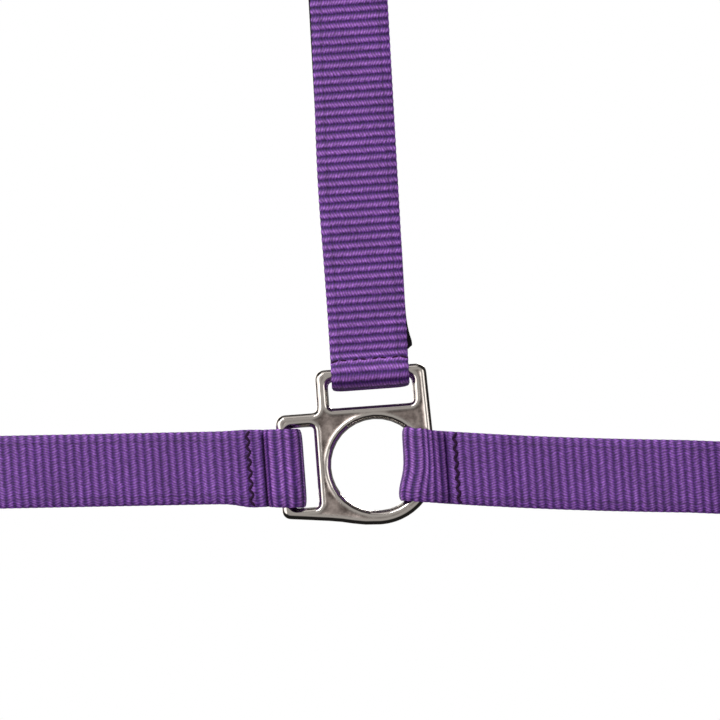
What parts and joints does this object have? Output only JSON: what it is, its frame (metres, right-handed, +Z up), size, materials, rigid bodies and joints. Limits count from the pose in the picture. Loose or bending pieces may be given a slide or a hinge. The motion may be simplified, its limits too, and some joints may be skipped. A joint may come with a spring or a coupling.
{
  "type": "head halter",
  "caption": "Webbing head halter: nose strap, chin strap and cheek straps looped on cast three-way fittings with a ring, and a crown strap that buckles on the near side.",
  "frame": {"origin": "centre of the near side ring, at the fitting's mid-plane, where a lead clip holds the halter", "axes": "+Z up towards the crown, +X back along the head from nose strap to chin strap, +Y from the near side to the off side"},
  "size_m": [0.315, 0.1262, 0.4264],
  "materials": {
    "webbing": "ribbed purple nylon webbing, woven, slight sheen",
    "lining": "black woven nylon lining tape, dull",
    "nickel": "cast fitting, nickel plated, satin face and polished rounded edges",
    "thread": "dark purple bonded nylon sewing thread"
  },
  "bodies": {
    "near_fitting": {"near_fitting": "nickel"},
    "nose_strap": {"nose_loop_strap": "webbing", "nose_outer_strap": "webbing", "nose_seam_near": "thread", "nose_seam_off": "thread"},
    "off_fitting": {"off_fitting": "nickel"},
    "chin_strap": {"chin_loop_strap": "webbing", "chin_outer_strap": "webbing", "chin_seam_near": "thread", "chin_seam_off": "thread"},
    "near_cheek": {"near_cheek_strap": "webbing", "near_cheek_lining": "lining", "buckle_frame": "nickel", "sewn_keeper": "webbing", "cheek_seam_near": "thread", "buckle_seam": "thread"},
    "tongue": {"buckle_tongue": "nickel"},
    "loose_keeper": {"sliding_keeper": "webbing"},
    "crown": {"crown_strap": "webbing", "crown_lining": "lining", "eyelet_1": "nickel", "eyelet_2": "nickel", "eyelet_3": "nickel", "eyelet_4": "nickel", "eyelet_5": "nickel", "cheek_seam_off": "thread"}
  },
  "joints": [
    {"name": "nose_swing", "type": "hinge", "parent": "near_fitting", "child": "nose_strap", "pos_m": [-0.03083, 0, -0.00146], "axis": [-0.0732, 0, 0.9973], "range_deg": [-10, 10]},
    {"name": "off_fitting_swing", "type": "hinge", "parent": "nose_strap", "child": "off_fitting", "pos_m": [-0.03083, 0.114, -0.00146], "axis": [-0.0732, 0, 0.9973], "range_deg": [-10, 10]},
    {"name": "chin_swing", "type": "hinge", "parent": "near_fitting", "child": "chin_strap", "pos_m": [0.01456, 0, 0.00107], "axis": [-0.0732, 0, 0.9973], "range_deg": [-10, 10]},
    {"name": "near_cheek_swing", "type": "hinge", "parent": "near_fitting", "child": "near_cheek", "pos_m": [-0.00226, 0, 0.03077], "axis": [0.9973, 0, 0.0732], "range_deg": [0, 80]},
    {"name": "crown_swing", "type": "hinge", "parent": "off_fitting", "child": "crown", "pos_m": [-0.00226, 0.114, 0.03077], "axis": [-0.9973, 0, -0.0732], "range_deg": [0, 80]},
    {"name": "tongue_pivot", "type": "hinge", "parent": "near_cheek", "child": "tongue", "pos_m": [-0.01313, 0, 0.22163], "axis": [0.9973, 0, 0.0732], "range_deg": [0, 110]},
    {"name": "keeper_slide", "type": "slide", "parent": "near_cheek", "child": "loose_keeper", "axis": [-0.0569, 0, 0.9984], "range_m": [-0.015, 0.009]}
  ],
  "couplings": [
    {"joint": "off_fitting_swing", "follows": "nose_swing", "ratio": -1},
    {"joint": "chin_swing", "follows": "nose_swing", "ratio": 1}
  ]
}
